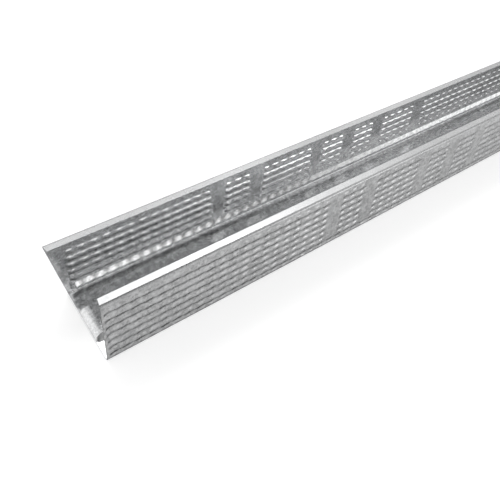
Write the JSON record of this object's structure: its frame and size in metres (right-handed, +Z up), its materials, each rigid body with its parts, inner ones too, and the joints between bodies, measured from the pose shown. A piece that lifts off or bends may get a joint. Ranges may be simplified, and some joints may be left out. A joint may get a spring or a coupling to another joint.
{
  "type": "drywall metal stud",
  "caption": "Roll-formed galvanised steel C-section stud with return lips and a raised band along its web, for the frame of a plasterboard wall.",
  "frame": {"origin": "on the floor, under the middle of the stud as it lies on its web", "axes": "+X along the stud's length, +Y across the web, +Z up out of the open side"},
  "size_m": [2.4, 0.048, 0.036],
  "materials": {
    "galvanised_steel": "satin"
  },
  "bodies": {
    "root": {"stud": "galvanised_steel"}
  },
  "joints": []
}
